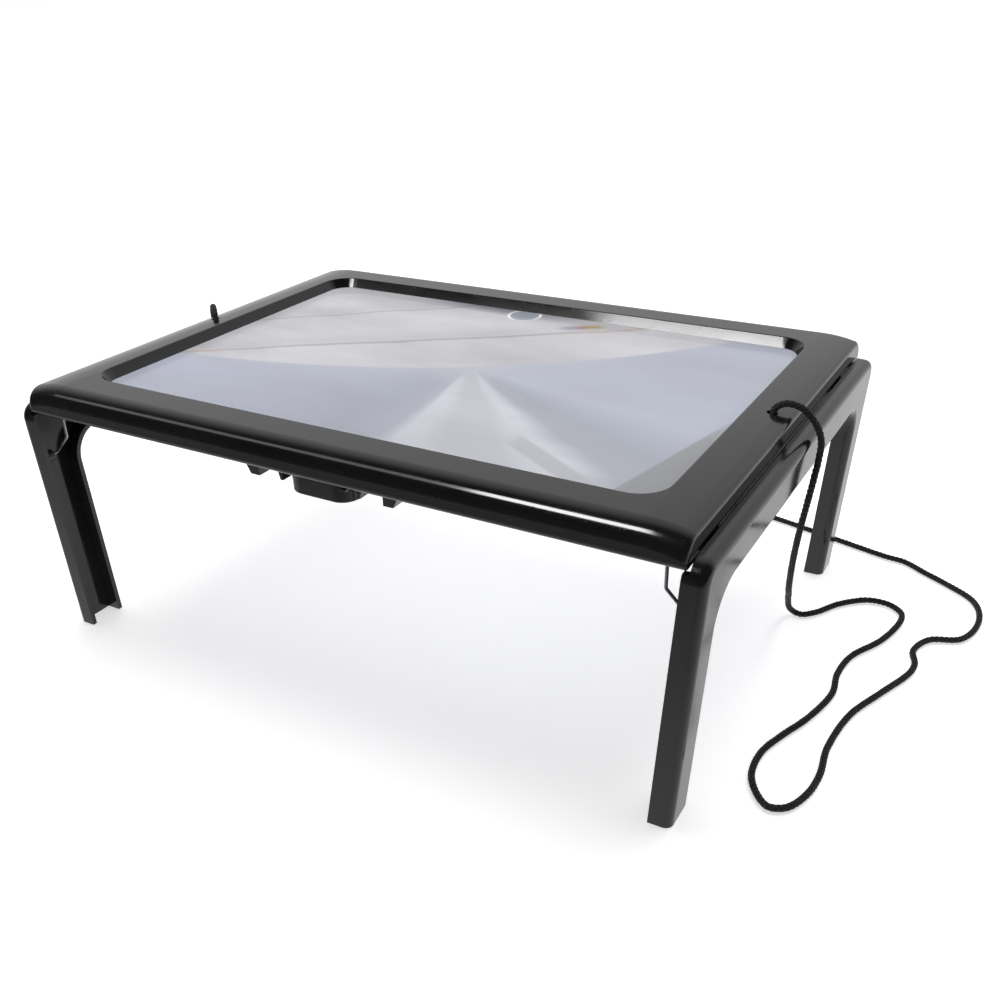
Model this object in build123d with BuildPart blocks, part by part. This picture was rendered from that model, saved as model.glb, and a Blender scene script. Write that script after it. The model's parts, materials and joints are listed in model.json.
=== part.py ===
from build123d import *
from math import atan2, cos, degrees, radians, sin
import os

# Hands-free full-page magnifier: a shallow hollow rim holds a flat Fresnel lens, a U-shaped leg frame
# folds out of each end and stands on the table, wire stays brace the legs, and a small battery
# housing under the front rail feeds four lamps.
# Frame: origin on the table under the middle of the lens, +X right, -Y front, +Z up. Millimetres.
# The right-hand pieces are drawn at +X and mirrored to make the left-hand ones.

# ---- rim
RIM_LENGTH = 283.0            # along X
RIM_DEPTH = 208.0             # along Y
RIM_TOP = 112.5               # height of the top face above the table
SEAM_Z = 102.8                # lower edge of the top bezel
UNDERSIDE_Z = 99.9            # lower face of the bottom shell
WALL = 2.0
NOSE_RADIUS = 7.0             # rounding of the long front and back edges
DROOP = 2.2                   # how far each end of the top face falls
DROOP_RUN = 16.0              # length over which it falls
END_RADIUS = 2.0              # rounding round each end face
DROOP_MARGIN = 1.2            # the falling ends are turned this many times too far, then trimmed
EDGE_RADIUS = 0.6
SEAM_GAP = 0.3
SHELL_INSET = 0.4             # bottom shell stands this far inside the bezel
SHELL_EDGE_RADIUS = 2.2
TONGUE_THICKNESS = 1.0
TONGUE_CLEARANCE = 0.15
TONGUE_TOP = 104.6

# ---- window and lens
WINDOW_LENGTH = 249.4
WINDOW_DEPTH = 170.6
WINDOW_RADIUS = 12.0
WINDOW_SLOPE = 2.9            # the window narrows by this much on each side down to the lens
LENS_TOP = 108.4
LENS_THICKNESS = 1.9
LENS_GAP = 0.05               # air above and below the lens edge
LENS_OVERLAP = 3.8            # lens edge hidden in the rim on every side
RING_CENTRE = (-10.0, 77.4)
RING_RADIUS = 8.4
RING_WIDTH = 1.6
RING_DEPTH = 0.4

# ---- leg frames
HINGE_X = 139.0
HINGE_Z = 98.0
HINGE_YS = (-76.0, 76.0)
PIN_RADIUS = 1.0
RUNNING_CLEARANCE = 0.06
EYE_RADIUS = 2.2
LUG_WIDTH = 3.4
KNUCKLE_WIDTH = 3.5
SIDE_GAP = 0.3                # between a lug and its knuckles
LUG_RECESS = 0.8
RECESS_MARGIN = 0.5
LEAN = 3.6                    # degrees, both legs lean inwards when open
LEG_FACE_X = 148.3            # outer face of the leg frame at the hinge height
LEG_HALF_SPAN = 104.0         # outer faces of the front and back legs
LEG_WIDTH = 17.0
CHANNEL_DEPTH = 8.5
LEG_TOP = 103.0
CROSSBAR_HEIGHT = 17.5
LEG_TOP_RADIUS = 7.0
ARCH_RADIUS = 13.0
LEG_EDGE_RADIUS = 3.2
LEG_WALL = 2.0
RIM_CLEARANCE_X = 142.2       # nothing of a leg frame lies inside this line beside the rim
RIM_CLEARANCE_Z = 99.4
RIM_END_SPACE = 20.0          # size of the space kept clear for the rim's end

# ---- wire stays
STAY_RADIUS = 0.6
STAY_Y = 96.0
STAY_PIVOT = (141.0, 80.0)    # X, Z
STAY_BEND = (132.5, 88.5)
STAY_TOP_Z = 104.5
STAY_BEND_RADIUS = 1.6
STAY_BOSS_RADIUS = 2.4
STAY_BOSS_LENGTH = 3.0
STAY_PIN_END_Y = 101.4
STAY_SLOT_X = (94.0, 135.5)
STAY_SLOT_WIDTH = 2.4

# ---- screws that join the two shells
CASE_SCREW_POINTS = [(x, y) for x in (-134.0, 134.0) for y in (-89.0, 89.0)]
CASE_SCREW_POINTS += [(x, y) for x in (-42.0, 42.0) for y in (-98.0, 98.0)]
SCREW_RADIUS = 1.0
SCREW_HEAD_RADIUS = 2.0
SCREW_HEAD_HEIGHT = 1.1
SCREW_LENGTH = 7.2
SCREW_POCKET_RADIUS = 2.2
SCREW_POCKET_DEPTH = 1.2
SCREW_HOLE_RADIUS = 1.15
SCREW_PAD_RADIUS = 3.4
SCREW_PAD_TOP = 103.4
SCREW_BOSS_RADIUS = 2.5
SCREW_PAD_GAP = 0.1           # between a pad of the bottom shell and its boss in the bezel
SCREW_TIP_GAP = 0.4           # hole left beyond the screw's tip
CROSS_WIDTH = 0.6
CROSS_LENGTH = 2.2
CROSS_DEPTH = 0.6

# ---- battery housing under the front rail
HOUSING_HALF_LENGTH = 14.2
HOUSING_FRONT_Y = -98.4
HOUSING_BACK_Y = -84.2
HOUSING_BOTTOM = 92.0
HOUSING_TOP = 104.7
HOUSING_WALL = 1.2
HOUSING_ROOF = 0.9
HOUSING_FRONT_RADIUS = 7.0
HOUSING_BACK_RADIUS = 2.0
COVER_THICKNESS = 1.5
COVER_LIP = 1.0
COVER_LIP_CLEARANCE = 0.15
COVER_EDGE_RADIUS = 0.9
CELL_RADIUS = 5.8
CELL_LENGTH = 3.05
CELL_COUNT = 3
CELL_FIRST_X = -6.6
CELL_AXIS = (-91.3, 97.9)     # Y, Z
CELL_CAP_RADIUS = 4.6
CELL_CAP_HEIGHT = 0.25
CELL_GAP = 0.02
CONTACT_THICKNESS = 0.4
CONTACT_WIDTH = 7.0
CONTACT_TOP = 103.6
CONTACT_BOTTOM = 93.6
CONTACT_TAPER = 20            # degrees, sides of the pressed dimple
CONTACT_BACK_X = -11.6        # back of the sprung contact, held off the rounded corner by a rib
SPRING_WIRE_RADIUS = 0.25
SPRING_RADIUS = 2.8
SPRING_TURNS = 3
COVER_SCREW_POINT = (8.9, -91.3)
COVER_SCREW_LENGTH = 3.8
COVER_SEAT_DROP = 0.2         # from the cover's upper face down to the screw's seat
COVER_BOSS_TOP = 96.4
DIVIDER_THICKNESS = 1.0

# ---- slide switch at the right end of the housing
SWITCH_LENGTH = 6.5           # along Y
SWITCH_THICKNESS = 3.8        # along X
SWITCH_BOTTOM = 96.5
SWITCH_HEIGHT = 4.2
SWITCH_Y = -88.95
SWITCH_WALL_GAP = 0.3
KNOB_LENGTH = 2.4
KNOB_HEIGHT = 2.0
KNOB_PROUD = 1.5              # how far the knob stands out of the housing wall
SWITCH_TRAVEL = 2.0
KNOB_SLOT_CLEARANCE = 0.25
KNOB_RIDGES = 3
KNOB_STEM_LENGTH = 1.6
KNOB_STEM_GAP = 0.3           # between the stem's end and the switch body
KNOB_RIDGE_DEPTH = 0.6
TERMINAL_PITCH = 2.5
TERMINAL_WIDTH = 1.0
TERMINAL_THICKNESS = 0.5
TERMINAL_LENGTH = 1.6

# ---- catches and ribs beside the housing
TOOTH_INNER_X = 16.6
TOOTH_TIP_WIDTH = 1.2
TOOTH_ROOT_WIDTH = 3.2
TOOTH_BOTTOM = 93.5
CATCH_INNER_X = 27.7
CATCH_BODY_WIDTH = 3.6
CATCH_BARB_X = 33.6
CATCH_BARB_Z = 96.5
CATCH_UNDERCUT_Z = 98.4
CATCH_BOTTOM = 93.1
CATCH_FOOT_X = 31.9
CATCH_FRONT_Y = -96.5
CATCH_DEPTH = 10.0

# ---- lamps
LAMP_XS = (56.0, 68.0)
LAMP_Y = -95.5
LAMP_RADIUS = 1.5
LAMP_FLANGE_RADIUS = 1.9
LAMP_FLANGE_HEIGHT = 0.8
LAMP_HOLE_RADIUS = 1.7
LAMP_TIP_Z = 100.4
BOARD_LENGTH = 26.0
BOARD_WIDTH = 8.0
BOARD_THICKNESS = 1.0
BOARD_Z = 104.0
BOARD_POST_LENGTH = 2.0
BOARD_POST_WIDTH = 7.0
WIRE_RADIUS = 0.55
WIRE_Z = 107.4
WIRE_BEND_RADIUS = 1.2
WIRE_YS = (-94.4, -92.4)      # negative, positive
SOLDER_GAP = 0.05             # between a wire's end and its board

# ---- neck cord
CORD_RADIUS = 1.4
CORD_REST_Z = 1.6             # centre of the cord where it lies on the table
CORD_HOLE_X = 134.0
CORD_HOLE_RADIUS = 2.1
CORD_END_Z = 105.2
STOPPER_RADIUS = 2.9
STOPPER_BORE_RADIUS = 1.5
STOPPER_HEIGHT = 3.4
STOPPER_BOTTOM = 105.6
# How the cord lies: up out of each hole, over the rim and the crossbar, then loosely on the table.
CORD_ON_TABLE = [
    (139.5, 49.5), (141, 52), (144, 51), (149, 53.5), (156, 63), (166, 72), (175, 73), (182, 68), (183, 59),
    (179, 42), (171, 25), (169, 10), (170.5, -5), (166.5, -24), (160.5, -40), (157, -52), (157.5, -65),
    (162, -74), (168, -79), (174, -76), (178, -66), (179, -54), (177.5, -38), (180, -15), (187, 4),
    (194, 22), (195, 31), (192.5, 41), (197, 52), (208, 58), (212.5, 70), (212, 84), (207, 94),
    (196, 102), (184, 109), (174, 115), (164, 116.5), (139, 123), (104, 132), (60, 139), (0, 139),
    (-60, 139), (-110, 133), (-146, 115), (-156, 95), (-158, 82),
]
CORD_RIGHT_DROP = [
    (CORD_HOLE_X, 0, CORD_END_Z), (CORD_HOLE_X, 0, 110.5), (135, 1.4, 114.2), (138.5, 4.5, 115.4),
    (143.5, 6, 113.6), (148.3, 7.2, 108.2), (150.9, 7.4, 101.9), (151.4, 6.3, 96.5), (150.6, 2.6, 83),
    (148.5, 2.7, 66.4), (146, 8.4, 49.3), (143, 20, 28), (140.4, 34, 11), (139.4, 43, 4.2),
]
CORD_LEFT_RISE = [
    (-158, 69, 4.4), (-157.4, 60, 14), (-154.6, 36, 58), (-152.6, 20, 90), (-151.4, 16.8, 102),
    (-148.8, 13.8, 108.6), (-143.6, 9, 113.9), (-138.4, 4.4, 115.6), (-135, 1.2, 114),
    (-CORD_HOLE_X, 0, 110.5), (-CORD_HOLE_X, 0, CORD_END_Z),
]

# ---- worked-out values
FLAT_HALF = RIM_LENGTH / 2 - DROOP_RUN
DROOP_RADIUS = (DROOP_RUN ** 2 + DROOP ** 2) / (2 * DROOP)
LENS_BOTTOM = LENS_TOP - LENS_THICKNESS
ROOF_Z = RIM_TOP - WALL
SHELL_TOP = SEAM_Z - SEAM_GAP
WINDOW_TAPER = degrees(atan2(WINDOW_SLOPE, RIM_TOP - LENS_TOP))
FLOOR_TOP = UNDERSIDE_Z + WALL
SCREW_SEAT_Z = UNDERSIDE_Z + SCREW_POCKET_DEPTH
COVER_BOTTOM = HOUSING_BOTTOM - COVER_THICKNESS
CELLS_END_X = CELL_FIRST_X + CELL_COUNT * CELL_LENGTH
SWITCH_X = HOUSING_HALF_LENGTH - HOUSING_WALL - SWITCH_WALL_GAP - SWITCH_THICKNESS / 2
SWITCH_MID_Z = SWITCH_BOTTOM + SWITCH_HEIGHT / 2
LEG_PLANE = Plane(
    origin=(LEG_FACE_X, 0, HINGE_Z),
    x_dir=(0, 1, 0),
    z_dir=(cos(radians(LEAN)), 0, -sin(radians(LEAN))),
)


def rim_slab(inset, half_length):
    """Solid slab of the rim, drawn inset from its outer faces, with both ends falling in an arc."""
    top = RIM_TOP - inset
    foot = SEAM_Z - DROOP - 2 * WALL
    with BuildPart() as slab:
        for end in (-1, 1):
            with BuildSketch(Plane.YZ.offset(end * FLAT_HALF)) as section:
                with Locations((0, (top + foot) / 2)):
                    Rectangle(RIM_DEPTH - 2 * inset, top - foot)
                fillet(section.vertices().group_by(Axis.Y)[-1], NOSE_RADIUS - inset)
            revolve(
                axis=Axis((end * FLAT_HALF, 0, RIM_TOP - DROOP_RADIUS), (0, end, 0)),
                revolution_arc=degrees(DROOP_RUN / DROOP_RADIUS) * DROOP_MARGIN,
            )
        extrude(section.sketch, amount=-2 * FLAT_HALF)
        with Locations((0, 0, RIM_TOP)):
            Box(2 * half_length, 2 * RIM_DEPTH, 6 * NOSE_RADIUS, mode=Mode.INTERSECT)
        split(bisect_by=Plane.XY.offset(SEAM_Z), keep=Keep.TOP)
    return slab.part


def rounded_ends(slab):
    """The outer slab with a rounding round each end face, above the seam."""
    with BuildPart() as rounded:
        add(slab)
        for end_face in (rounded.faces().sort_by(Axis.X)[0], rounded.faces().sort_by(Axis.X)[-1]):
            fillet(end_face.edges().sort_by(Axis.Z)[1:], END_RADIUS)
    return rounded.part


def rounded_column(z, height, length, depth, radius, mode=Mode.ADD):
    """Upright column with a rounded-rectangle plan, centred on the lens axis."""
    with BuildSketch(Plane.XY.offset(z)) as plan:
        RectangleRounded(length, depth, radius)
    extrude(plan.sketch, amount=height, mode=mode)


def round_columns(points, z, height, radius, mode=Mode.ADD):
    """Upright round columns or holes at plan points."""
    with BuildSketch(Plane.XY.offset(z)) as plan:
        with Locations(*points):
            Circle(radius)
    extrude(plan.sketch, amount=height, mode=mode)


# ================================================================ rim and lens
with BuildPart() as top_bezel:
    add(rounded_ends(rim_slab(0, RIM_LENGTH / 2)))
    add(rim_slab(WALL, RIM_LENGTH / 2 - WALL), mode=Mode.SUBTRACT)
    rounded_column(
        LENS_TOP, ROOF_Z - LENS_TOP + WALL / 2,
        WINDOW_LENGTH + 2 * WALL, WINDOW_DEPTH + 2 * WALL, WINDOW_RADIUS + WALL,
    )
    with BuildSketch(Plane.XY.offset(RIM_TOP)) as window_plan:
        RectangleRounded(WINDOW_LENGTH, WINDOW_DEPTH, WINDOW_RADIUS)
    extrude(window_plan.sketch, amount=LENS_TOP - RIM_TOP, taper=WINDOW_TAPER, mode=Mode.SUBTRACT)
    round_columns(CASE_SCREW_POINTS, SCREW_PAD_TOP + SCREW_PAD_GAP, ROOF_Z - SCREW_PAD_TOP, SCREW_BOSS_RADIUS)
    round_columns(CASE_SCREW_POINTS, SEAM_Z, SCREW_SEAT_Z + SCREW_LENGTH - SEAM_Z + SCREW_TIP_GAP,
                  SCREW_RADIUS, Mode.SUBTRACT)
    round_columns([(-CORD_HOLE_X, 0), (CORD_HOLE_X, 0)], SEAM_Z, RIM_TOP, CORD_HOLE_RADIUS,
                  Mode.SUBTRACT)
    fillet(top_bezel.faces().sort_by(Axis.Z)[-1].inner_wires()[0].edges(), EDGE_RADIUS)
top_bezel.part.label = "top_bezel"


def housing_column(z, height, inset, mode=Mode.ADD):
    """Upright column with the battery housing's plan, drawn inset from its outer faces."""
    with BuildSketch(Plane.XY.offset(z)) as plan:
        with Locations((0, (HOUSING_BACK_Y + HOUSING_FRONT_Y) / 2)):
            Rectangle(2 * (HOUSING_HALF_LENGTH - inset), HOUSING_BACK_Y - HOUSING_FRONT_Y - 2 * inset)
        fillet(plan.vertices().group_by(Axis.Y)[0], HOUSING_FRONT_RADIUS - inset)
        fillet(plan.vertices().group_by(Axis.Y)[-1], HOUSING_BACK_RADIUS - inset)
    extrude(plan.sketch, amount=height, mode=mode)


with BuildPart() as bottom_shell:
    shell_length = RIM_LENGTH - 2 * SHELL_INSET
    shell_depth = RIM_DEPTH - 2 * SHELL_INSET
    with BuildSketch(Plane.XY.offset(UNDERSIDE_Z)):
        Rectangle(shell_length, shell_depth)
    extrude(amount=SHELL_TOP - UNDERSIDE_Z)
    fillet(bottom_shell.edges().filter_by(Axis.X).group_by(Axis.Z)[0], SHELL_EDGE_RADIUS)
    fillet(bottom_shell.edges().filter_by(Axis.Z), EDGE_RADIUS)

    # tray, with a thin tongue that steps up inside the bezel
    with BuildSketch(Plane.XY.offset(FLOOR_TOP)):
        Rectangle(RIM_LENGTH - 4 * WALL, RIM_DEPTH - 4 * WALL)
    extrude(amount=TONGUE_TOP - FLOOR_TOP, mode=Mode.SUBTRACT)
    with BuildSketch(Plane.XY.offset(FLOOR_TOP)):
        tongue_inset = WALL + TONGUE_CLEARANCE
        Rectangle(RIM_LENGTH - 2 * tongue_inset, RIM_DEPTH - 2 * tongue_inset)
        tongue_inset += TONGUE_THICKNESS
        Rectangle(RIM_LENGTH - 2 * tongue_inset, RIM_DEPTH - 2 * tongue_inset, mode=Mode.SUBTRACT)
    extrude(amount=TONGUE_TOP - FLOOR_TOP)

    # wall that carries the lens, and the opening inside it
    rounded_column(
        UNDERSIDE_Z, LENS_BOTTOM - LENS_GAP - UNDERSIDE_Z,
        WINDOW_LENGTH + 2 * WALL, WINDOW_DEPTH + 2 * WALL, WINDOW_RADIUS + WALL,
    )
    rounded_column(UNDERSIDE_Z, RIM_TOP, WINDOW_LENGTH, WINDOW_DEPTH, WINDOW_RADIUS, Mode.SUBTRACT)

    # screw seats
    round_columns(CASE_SCREW_POINTS, UNDERSIDE_Z, SCREW_PAD_TOP - UNDERSIDE_Z, SCREW_PAD_RADIUS)
    round_columns(CASE_SCREW_POINTS, UNDERSIDE_Z, SCREW_PAD_TOP - UNDERSIDE_Z, SCREW_HOLE_RADIUS,
                  Mode.SUBTRACT)
    round_columns(CASE_SCREW_POINTS, UNDERSIDE_Z, SCREW_POCKET_DEPTH, SCREW_POCKET_RADIUS,
                  Mode.SUBTRACT)

    # slots for the wire stays
    slot_mid = sum(STAY_SLOT_X) / 2
    with BuildSketch(Plane.XY.offset(UNDERSIDE_Z)):
        with Locations(*[(x, y) for x in (-slot_mid, slot_mid) for y in (-STAY_Y, STAY_Y)]):
            SlotOverall(STAY_SLOT_X[1] - STAY_SLOT_X[0], STAY_SLOT_WIDTH)
    extrude(amount=WALL, mode=Mode.SUBTRACT)

    # hinge knuckles, each pair with a shallow recess between them for the lug of the leg frame
    for side in (-1, 1):
        hinge_x = side * HINGE_X
        recess_inner_x = HINGE_X - EYE_RADIUS - RECESS_MARGIN
        recess_outer_x = RIM_LENGTH / 2 + RECESS_MARGIN
        recess_mid_x = side * (recess_inner_x + recess_outer_x) / 2
        for hinge_y in HINGE_YS:
            for away in (-1, 1):
                inner_y = hinge_y + away * (LUG_WIDTH / 2 + SIDE_GAP)
                with BuildSketch(Plane.XZ.offset(-inner_y)):
                    with Locations((hinge_x, HINGE_Z)):
                        Circle(EYE_RADIUS)
                    with Locations((hinge_x, (HINGE_Z + UNDERSIDE_Z) / 2 + WALL / 4)):
                        Rectangle(2 * EYE_RADIUS, UNDERSIDE_Z - HINGE_Z + WALL / 2)
                    with Locations((hinge_x, HINGE_Z)):
                        Circle(PIN_RADIUS, mode=Mode.SUBTRACT)
                extrude(amount=-away * KNUCKLE_WIDTH)
            with Locations((recess_mid_x, hinge_y, UNDERSIDE_Z + LUG_RECESS / 2)):
                Box(recess_outer_x - recess_inner_x, LUG_WIDTH + 2 * SIDE_GAP, LUG_RECESS,
                    mode=Mode.SUBTRACT)

    # battery housing, open below, with a divider that holds the far contact
    housing_column(HOUSING_BOTTOM, HOUSING_TOP - HOUSING_BOTTOM, 0)
    housing_column(HOUSING_BOTTOM, HOUSING_TOP - HOUSING_ROOF - HOUSING_BOTTOM, HOUSING_WALL,
                   Mode.SUBTRACT)
    divider_x = CELLS_END_X + CELL_CAP_HEIGHT + CONTACT_THICKNESS + DIVIDER_THICKNESS / 2
    with Locations((divider_x, (HOUSING_FRONT_Y + HOUSING_BACK_Y) / 2, (CONTACT_BOTTOM + HOUSING_TOP) / 2)):
        Box(DIVIDER_THICKNESS, HOUSING_BACK_Y - HOUSING_FRONT_Y - HOUSING_WALL,
            HOUSING_TOP - CONTACT_BOTTOM - HOUSING_ROOF / 2)
    rib_width = HOUSING_HALF_LENGTH - HOUSING_WALL / 2 + CONTACT_BACK_X
    with Locations((CONTACT_BACK_X - rib_width / 2, CELL_AXIS[0], (CONTACT_BOTTOM + CONTACT_TOP) / 2)):
        Box(rib_width, CONTACT_WIDTH / 2, CONTACT_TOP - CONTACT_BOTTOM)

    # boss for the cover screw
    round_columns([COVER_SCREW_POINT], HOUSING_BOTTOM + COVER_LIP,
                  COVER_BOSS_TOP - HOUSING_BOTTOM - COVER_LIP, SCREW_BOSS_RADIUS)
    with BuildSketch(Plane.XY.offset(COVER_BOSS_TOP - DIVIDER_THICKNESS)):
        with Locations((SWITCH_X, COVER_SCREW_POINT[1])):
            Rectangle(SWITCH_THICKNESS, HOUSING_BACK_Y - HOUSING_FRONT_Y - HOUSING_WALL)
    extrude(amount=DIVIDER_THICKNESS)
    round_columns([COVER_SCREW_POINT], HOUSING_BOTTOM,
                  COVER_BOSS_TOP - HOUSING_BOTTOM - DIVIDER_THICKNESS / 2, SCREW_RADIUS, Mode.SUBTRACT)

    # window in the end wall for the switch knob
    with Locations((HOUSING_HALF_LENGTH - HOUSING_WALL / 2, SWITCH_Y, SWITCH_MID_Z)):
        Box(2 * HOUSING_WALL, KNOB_LENGTH + SWITCH_TRAVEL + 2 * KNOB_SLOT_CLEARANCE,
            KNOB_HEIGHT + 2 * KNOB_SLOT_CLEARANCE, mode=Mode.SUBTRACT)

    # ribs and barbed catches on each side of the housing
    for side in (-1, 1):
        with BuildSketch(Plane.XZ.offset(-CATCH_FRONT_Y)):
            with BuildLine():
                Polyline(
                    (side * TOOTH_INNER_X, UNDERSIDE_Z + WALL / 2),
                    (side * TOOTH_INNER_X, TOOTH_BOTTOM),
                    (side * (TOOTH_INNER_X + TOOTH_TIP_WIDTH), TOOTH_BOTTOM),
                    (side * (TOOTH_INNER_X + TOOTH_ROOT_WIDTH), UNDERSIDE_Z + WALL / 2),
                    close=True,
                )
            make_face()
            with BuildLine():
                Polyline(
                    (side * CATCH_INNER_X, UNDERSIDE_Z + WALL / 2),
                    (side * CATCH_INNER_X, CATCH_BOTTOM),
                    (side * CATCH_FOOT_X, CATCH_BOTTOM),
                    (side * CATCH_BARB_X, CATCH_BARB_Z),
                    (side * (CATCH_INNER_X + CATCH_BODY_WIDTH), CATCH_UNDERCUT_Z),
                    (side * (CATCH_INNER_X + CATCH_BODY_WIDTH), UNDERSIDE_Z + WALL / 2),
                    close=True,
                )
            make_face()
        extrude(amount=-CATCH_DEPTH)

    # lamp holes and the posts that carry the lamp boards
    lamp_points = [(side * x, LAMP_Y) for side in (-1, 1) for x in LAMP_XS]
    round_columns(lamp_points, UNDERSIDE_Z, WALL, LAMP_HOLE_RADIUS, Mode.SUBTRACT)
    board_mid = sum(LAMP_XS) / 2
    post_x = BOARD_LENGTH / 2 - BOARD_POST_LENGTH
    with BuildSketch(Plane.XY.offset(FLOOR_TOP - WALL / 4)):
        with Locations(*[(side * board_mid + end * post_x, LAMP_Y) for side in (-1, 1) for end in (-1, 1)]):
            Rectangle(BOARD_POST_LENGTH, BOARD_POST_WIDTH)
    extrude(amount=BOARD_Z - FLOOR_TOP + WALL / 4)
bottom_shell.part.label = "bottom_shell"


with BuildPart() as fresnel_lens:
    rounded_column(
        LENS_BOTTOM, LENS_THICKNESS - LENS_GAP,
        WINDOW_LENGTH + 2 * LENS_OVERLAP, WINDOW_DEPTH + 2 * LENS_OVERLAP, WINDOW_RADIUS + LENS_OVERLAP,
    )
    with BuildSketch(Plane.XY.offset(LENS_TOP - LENS_GAP)):
        with Locations(RING_CENTRE):
            Circle(RING_RADIUS)
            Circle(RING_RADIUS - RING_WIDTH, mode=Mode.SUBTRACT)
    extrude(amount=-RING_DEPTH, mode=Mode.SUBTRACT)
fresnel_lens.part.label = "fresnel_lens"


# ================================================================ folding leg frames
def leg_frame_outline(inset, foot):
    """Outline of the U-shaped leg frame in the plane of its web, drawn inset from its edges."""
    top = LEG_TOP - HINGE_Z - inset
    arch = LEG_TOP - HINGE_Z - CROSSBAR_HEIGHT + inset
    half = LEG_HALF_SPAN - inset
    inner = LEG_HALF_SPAN - LEG_WIDTH + inset
    with BuildSketch(Plane.XY) as outline:
        with Locations((0, (top + foot) / 2)):
            Rectangle(2 * half, top - foot)
        fillet(outline.vertices().group_by(Axis.Y)[-1], LEG_TOP_RADIUS - inset)
    with BuildSketch(Plane.XY) as archway:
        with Locations((0, (arch + foot) / 2)):
            Rectangle(2 * inner, arch - foot)
        fillet(archway.vertices().group_by(Axis.Y)[-1], ARCH_RADIUS + inset)
    return outline.sketch - archway.sketch


leg_foot = -(HINGE_Z + 2 * WALL) / cos(radians(LEAN))

with BuildPart() as right_leg_frame:
    with BuildSketch(LEG_PLANE):
        add(leg_frame_outline(0, leg_foot))
    extrude(amount=-CHANNEL_DEPTH)
    fillet(right_leg_frame.faces().filter_by(LEG_PLANE).sort_by(Axis.X)[-1].edges(), LEG_EDGE_RADIUS)
    with BuildSketch(LEG_PLANE.offset(-LEG_WALL)):
        add(leg_frame_outline(LEG_WALL, leg_foot))
    extrude(amount=-CHANNEL_DEPTH, mode=Mode.SUBTRACT)

    # stay clear of the rim's end and underside
    with Locations((RIM_CLEARANCE_X, 0, RIM_CLEARANCE_Z)):
        Box(
            RIM_END_SPACE, 3 * LEG_HALF_SPAN, RIM_END_SPACE,
            align=(Align.MAX, Align.CENTER, Align.MIN), mode=Mode.SUBTRACT,
        )

    # lugs that turn on the hinge pins
    for hinge_y in HINGE_YS:
        with BuildSketch(Plane.XZ.offset(-hinge_y + LUG_WIDTH / 2)):
            with Locations((HINGE_X, HINGE_Z)):
                Circle(EYE_RADIUS)
            with BuildLine():
                Polyline(
                    (HINGE_X, HINGE_Z - EYE_RADIUS),
                    (LEG_FACE_X - LEG_WALL / 2, HINGE_Z - EYE_RADIUS),
                    (LEG_FACE_X - LEG_WALL / 2, RIM_CLEARANCE_Z),
                    (HINGE_X + EYE_RADIUS, RIM_CLEARANCE_Z),
                    (HINGE_X, HINGE_Z + EYE_RADIUS / 2),
                    close=True,
                )
            make_face()
            with Locations((HINGE_X, HINGE_Z)):
                Circle(PIN_RADIUS + RUNNING_CLEARANCE, mode=Mode.SUBTRACT)
        extrude(amount=-LUG_WIDTH)

    # bosses that the lower ends of the wire stays turn in
    for side in (-1, 1):
        wall_y = side * (LEG_HALF_SPAN - LEG_WALL)
        with BuildSketch(Plane.XZ.offset(-wall_y)):
            with Locations(STAY_PIVOT):
                Circle(STAY_BOSS_RADIUS)
                Circle(STAY_RADIUS + RUNNING_CLEARANCE, mode=Mode.SUBTRACT)
        extrude(amount=side * STAY_BOSS_LENGTH)
    split(bisect_by=Plane.XY, keep=Keep.TOP)
right_leg_frame.part.label = "right_leg_frame"

with BuildPart() as left_leg_frame:
    mirror(right_leg_frame.part, about=Plane.YZ)
left_leg_frame.part.label = "left_leg_frame"


pin_length = LUG_WIDTH + 2 * (SIDE_GAP + KNUCKLE_WIDTH)
with BuildPart() as right_hinge_pins:
    with Locations(*[(HINGE_X, hinge_y, HINGE_Z) for hinge_y in HINGE_YS]):
        Cylinder(PIN_RADIUS, pin_length, rotation=(90, 0, 0))
right_hinge_pins.part.label = "right_hinge_pins"

with BuildPart() as left_hinge_pins:
    mirror(right_hinge_pins.part, about=Plane.YZ)
left_hinge_pins.part.label = "left_hinge_pins"


with BuildPart() as right_stays:
    with BuildLine() as stay_line:
        FilletPolyline(
            (STAY_PIVOT[0], -STAY_PIN_END_Y, STAY_PIVOT[1]),
            (STAY_PIVOT[0], -STAY_Y, STAY_PIVOT[1]),
            (STAY_BEND[0], -STAY_Y, STAY_BEND[1]),
            (STAY_BEND[0], -STAY_Y, STAY_TOP_Z),
            radius=STAY_BEND_RADIUS,
        )
    with BuildSketch(Plane(origin=stay_line.line @ 0, z_dir=stay_line.line % 0)):
        Circle(STAY_RADIUS)
    sweep(path=stay_line.line)
    mirror(about=Plane.XZ)
right_stays.part.label = "right_stays"

with BuildPart() as left_stays:
    mirror(right_stays.part, about=Plane.YZ)
left_stays.part.label = "left_stays"


# ================================================================ fasteners
def pan_screw(x, y, seat_z, length):
    """Cross-head screw driven upwards, its head just under seat_z."""
    with BuildPart() as screw:
        with Locations((x, y, seat_z - SCREW_HEAD_HEIGHT / 2)):
            Cylinder(SCREW_HEAD_RADIUS, SCREW_HEAD_HEIGHT)
        fillet(screw.edges().group_by(Axis.Z)[0], SCREW_HEAD_HEIGHT / 3)
        with Locations((x, y, seat_z + length / 2)):
            Cylinder(SCREW_RADIUS, length)
        chamfer(screw.edges().group_by(Axis.Z)[-1], SCREW_RADIUS / 2)
        with Locations((x, y, seat_z - SCREW_HEAD_HEIGHT + CROSS_DEPTH / 2)):
            Box(CROSS_LENGTH, CROSS_WIDTH, CROSS_DEPTH, mode=Mode.SUBTRACT)
            Box(CROSS_WIDTH, CROSS_LENGTH, CROSS_DEPTH, mode=Mode.SUBTRACT)
    return screw.part


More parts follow.
